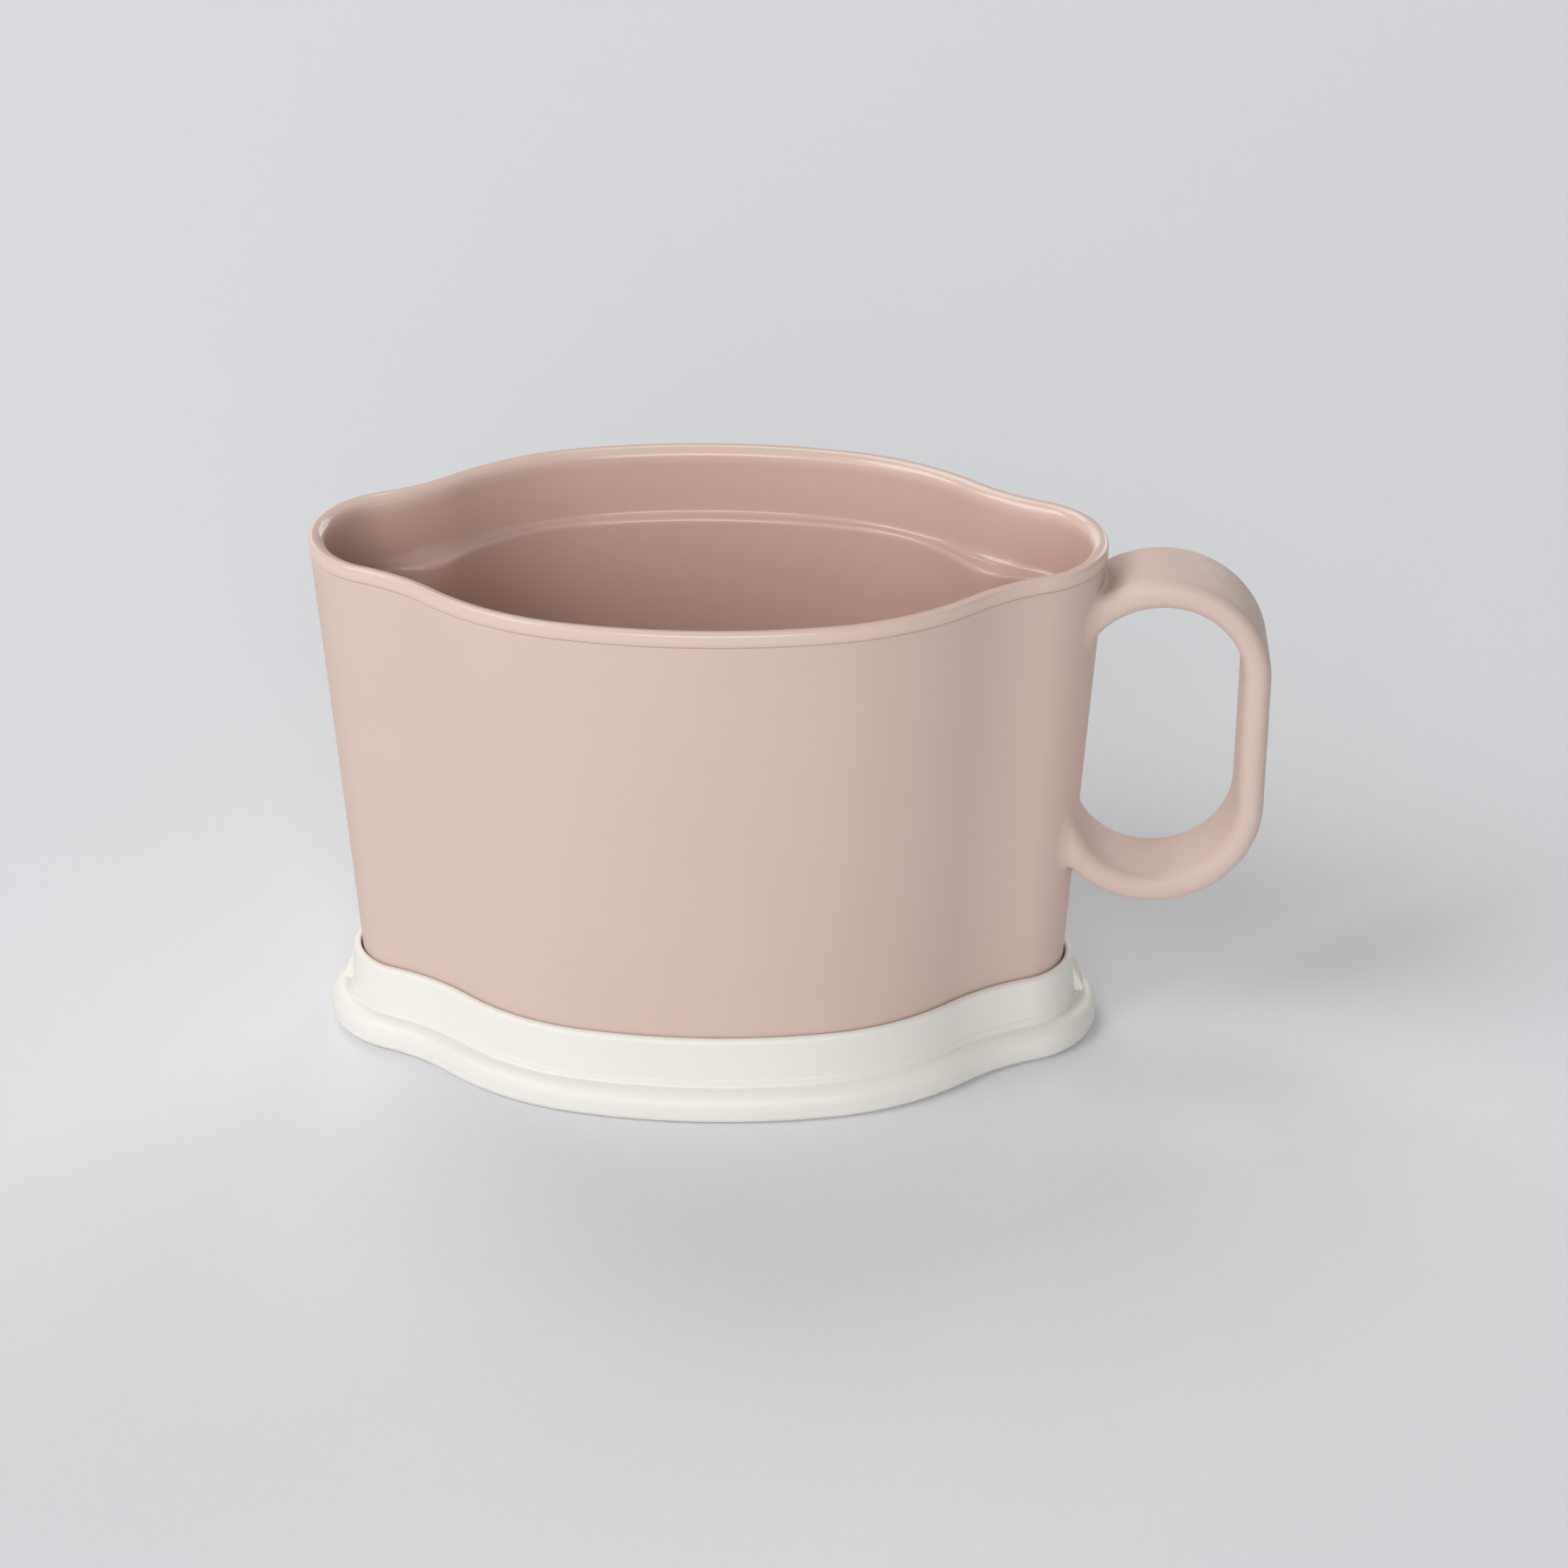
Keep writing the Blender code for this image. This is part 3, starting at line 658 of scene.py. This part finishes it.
class Look:
    """A Principled material under construction, with short ways to add and link its nodes."""

    def __init__(self, name):
        self.material = bpy.data.materials.new(name)
        self.material.use_nodes = True
        self.tree = self.material.node_tree
        self.shader = self.tree.nodes["Principled BSDF"]
        self.place = self.tree.nodes.new("ShaderNodeTexCoord").outputs["Object"]

    def noise(self, size, detail=3.0, roughness=0.5):
        """Noise whose patches are about that many millimetres across."""
        node = self.tree.nodes.new("ShaderNodeTexNoise")
        node.inputs["Scale"].default_value = 1 / (size * MM)
        node.inputs["Detail"].default_value = detail
        node.inputs["Roughness"].default_value = roughness
        self.tree.links.new(self.place, node.inputs["Vector"])
        return node.outputs["Fac"]

    def spread(self, value, span, result):
        """A value mapped from one range to another, held at both ends."""
        node = self.tree.nodes.new("ShaderNodeMapRange")
        node.inputs["From Min"].default_value = span[0]
        node.inputs["From Max"].default_value = span[1]
        node.inputs["To Min"].default_value = result[0]
        node.inputs["To Max"].default_value = result[1]
        self.tree.links.new(value, node.inputs["Value"])
        return node.outputs["Result"]

    def height(self, low, high):
        """0 below one height in millimetres and 1 above another."""
        node = self.tree.nodes.new("ShaderNodeSeparateXYZ")
        self.tree.links.new(self.place, node.inputs["Vector"])
        return self.spread(node.outputs["Z"], (low * MM, high * MM), (0.0, 1.0))

    def colours(self, value, first, second, below=None):
        """Base colour between two colours, or between the colour below and the second."""
        node = self.tree.nodes.new("ShaderNodeMix")
        node.data_type = "RGBA"
        node.inputs["A"].default_value = (*first, 1.0)
        node.inputs["B"].default_value = (*second, 1.0)
        self.tree.links.new(value, node.inputs["Factor"])
        if below:
            self.tree.links.new(below, node.inputs["A"])
        self.tree.links.new(node.outputs["Result"], self.shader.inputs["Base Color"])
        return node.outputs["Result"]

    def roughness(self, value, span, result):
        """Roughness from a value, whose span is spread over the resulting range."""
        self.tree.links.new(self.spread(value, span, result), self.shader.inputs["Roughness"])

    def bump(self, value, height, below=None):
        """Bump of about that height in millimetres, over another bump where one is given."""
        node = self.tree.nodes.new("ShaderNodeBump")
        node.inputs["Strength"].default_value = 1.0
        node.inputs["Distance"].default_value = height * MM
        self.tree.links.new(value, node.inputs["Height"])
        if below:
            self.tree.links.new(below, node.inputs["Normal"])
        self.tree.links.new(node.outputs["Normal"], self.shader.inputs["Normal"])
        return node.outputs["Normal"]


def shell_look():
    """Matte moulded plastic: fine spark-eroded grain, faint flow mottling."""
    look = Look("matte_shell")
    look.colours(look.noise(size=28.0, detail=4.0), SHELL_COLOUR, SHELL_SHADE)
    look.roughness(look.noise(size=3.0), NOISE_SPAN, SHELL_ROUGHNESS)
    grain = look.bump(look.noise(size=0.35, detail=2.0), height=0.004)
    look.bump(look.noise(size=9.0), height=0.02, below=grain)
    return look.material


def cup_look():
    """Glossy moulded plastic, slightly wavy and uneven in gloss, darker as painted shade inside and paler
    as painted light on the lip.
    """
    look = Look("glossy_cup")
    painted_light_foot = PARTING + LIP_PAINTED_LIGHT_FOOT
    # The cup's colour, darker than its plastic as painted shade for its hollow inside.
    inside = look.colours(look.noise(size=24.0, detail=4.0), CUP_COLOUR_IN_PAINTED_SHADE, CUP_MOTTLE_IN_PAINTED_SHADE)
    # Painted light: the lip's paler colour fades in over the top of the lip.
    look.colours(look.height(painted_light_foot, painted_light_foot + LIP_PAINTED_LIGHT_SPAN), CUP_COLOUR_IN_PAINTED_SHADE, LIP_PAINTED_LIGHT_COLOUR, below=inside)
    look.roughness(look.noise(size=2.0, detail=6.0), CUP_NOISE_SPAN, CUP_ROUGHNESS)
    look.bump(look.noise(size=7.0), height=0.02)
    return look.material


def lid_look():
    """Satin ivory plastic, a little warmer in patches."""
    look = Look("satin_lid")
    look.colours(look.noise(size=30.0, detail=4.0), LID_COLOUR, LID_SHADE)
    look.roughness(look.noise(size=2.5), NOISE_SPAN, LID_ROUGHNESS)
    grain = look.bump(look.noise(size=0.4, detail=2.0), height=0.004)
    look.bump(look.noise(size=8.0), height=0.02, below=grain)
    return look.material


def floor_look():
    """Pale matt paper."""
    look = Look("paper")
    look.colours(look.noise(size=0.9, detail=6.0, roughness=0.7), FLOOR_COLOUR, FLOOR_SHADE)
    look.roughness(look.noise(size=4.0), NOISE_SPAN, FLOOR_ROUGHNESS)
    look.bump(look.noise(size=0.6, detail=4.0), height=0.03)
    return look.material


def wear(item, material, node, body):
    """Dress a piece, and let it stand for a node of the frame and move with its body."""
    item.data.materials.clear()
    item.data.materials.append(material)
    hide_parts(node)
    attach(item, body)


def add_floor():
    """A wide sheet of paper under the object."""
    mesh = bpy.data.meshes.new("floor")
    bm = bmesh.new()
    bmesh.ops.create_grid(bm, x_segments=1, y_segments=1, size=FLOOR_REACH)
    bm.to_mesh(mesh)
    bm.free()
    mesh.materials.append(floor_look())
    floor = bpy.data.objects.new("floor", mesh)
    bpy.context.scene.collection.objects.link(floor)


def add_softbox(box):
    """One softbox, turned to the object."""
    turn = math.radians(box.azimuth)
    climb = math.radians(box.elevation)
    away = Vector((math.sin(turn) * math.cos(climb), -math.cos(turn) * math.cos(climb), math.sin(climb)))
    data = bpy.data.lights.new(box.name, "AREA")
    data.size = box.size
    data.energy = box.watts
    lamp = bpy.data.objects.new(box.name, data)
    lamp.location = away * SOFTBOX_DISTANCE
    lamp.rotation_euler = away.to_track_quat("Z", "Y").to_euler()
    bpy.context.scene.collection.objects.link(lamp)


def add_light():
    """The softboxes and the room."""
    world = bpy.data.worlds.new("room")
    world.use_nodes = True
    back = world.node_tree.nodes["Background"]
    back.inputs["Color"].default_value = (*ROOM_COLOUR, 1.0)
    back.inputs["Strength"].default_value = ROOM_STRENGTH
    bpy.context.scene.world = world
    for box in SOFTBOXES:
        add_softbox(box)


def add_camera():
    """The photograph's camera."""
    across = Vector((math.cos(CAMERA_TURN), -math.sin(CAMERA_TURN), 0.0))
    ahead = Vector((math.sin(CAMERA_TURN), math.cos(CAMERA_TURN), 0.0))
    plumb = Vector((0.0, 0.0, 1.0))
    view = ahead * math.cos(CAMERA_ELEVATION) - plumb * math.sin(CAMERA_ELEVATION)
    rise = ahead * math.sin(CAMERA_ELEVATION) + plumb * math.cos(CAMERA_ELEVATION)
    place = across * CAMERA_SIDE + rise * CAMERA_RISE - view * CAMERA_DISTANCE
    place += Vector((MUG_AXIS_X, 0.0, 0.0))
    right = across * math.cos(CAMERA_ROLL) + rise * math.sin(CAMERA_ROLL)
    top = rise * math.cos(CAMERA_ROLL) - across * math.sin(CAMERA_ROLL)
    data = bpy.data.cameras.new("camera")
    data.sensor_width = IMAGE_SENSOR
    data.lens = CAMERA_LENS
    camera = bpy.data.objects.new("camera", data)
    turn = Matrix((right, top, -view)).transposed()
    camera.matrix_world = Matrix.Translation(place * MM) @ turn.to_4x4()
    bpy.context.scene.collection.objects.link(camera)
    bpy.context.scene.camera = camera


bpy.context.scene.view_settings.view_transform = "Standard"
wear(make_shell(), shell_look(), "outer_shell", "mug")
wear(make_cup(), cup_look(), "inner_cup", "mug")
wear(make_lid(), lid_look(), "lid", "lid")
add_floor()
add_light()
add_camera()
